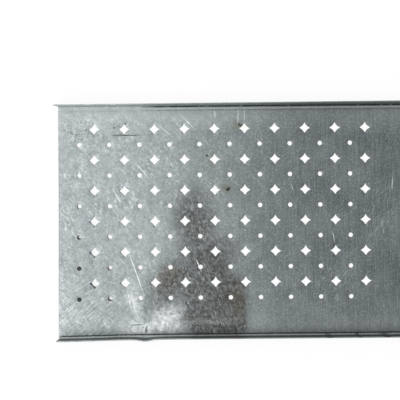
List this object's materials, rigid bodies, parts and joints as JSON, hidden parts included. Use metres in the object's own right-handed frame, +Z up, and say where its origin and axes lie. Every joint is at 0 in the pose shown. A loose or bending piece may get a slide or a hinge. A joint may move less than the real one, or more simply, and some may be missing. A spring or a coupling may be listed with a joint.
{
  "type": "perforated metal sheet",
  "caption": "Galvanised steel sheet punched with fields of four-pointed stars and small round holes, its two long edges folded up into low flanges.",
  "frame": {"origin": "the middle of the sheet's flat underside", "axes": "+X along the sheet, +Y across it towards the edge that the stars lie nearer to, +Z up, the way the flanges point"},
  "size_m": [1, 0.303, 0.02],
  "materials": {
    "galvanised_steel": "hot-dip galvanised, weathered, dull grey with scratches and dark stains"
  },
  "bodies": {
    "root": {"perforated_sheet": "galvanised_steel"}
  },
  "joints": []
}
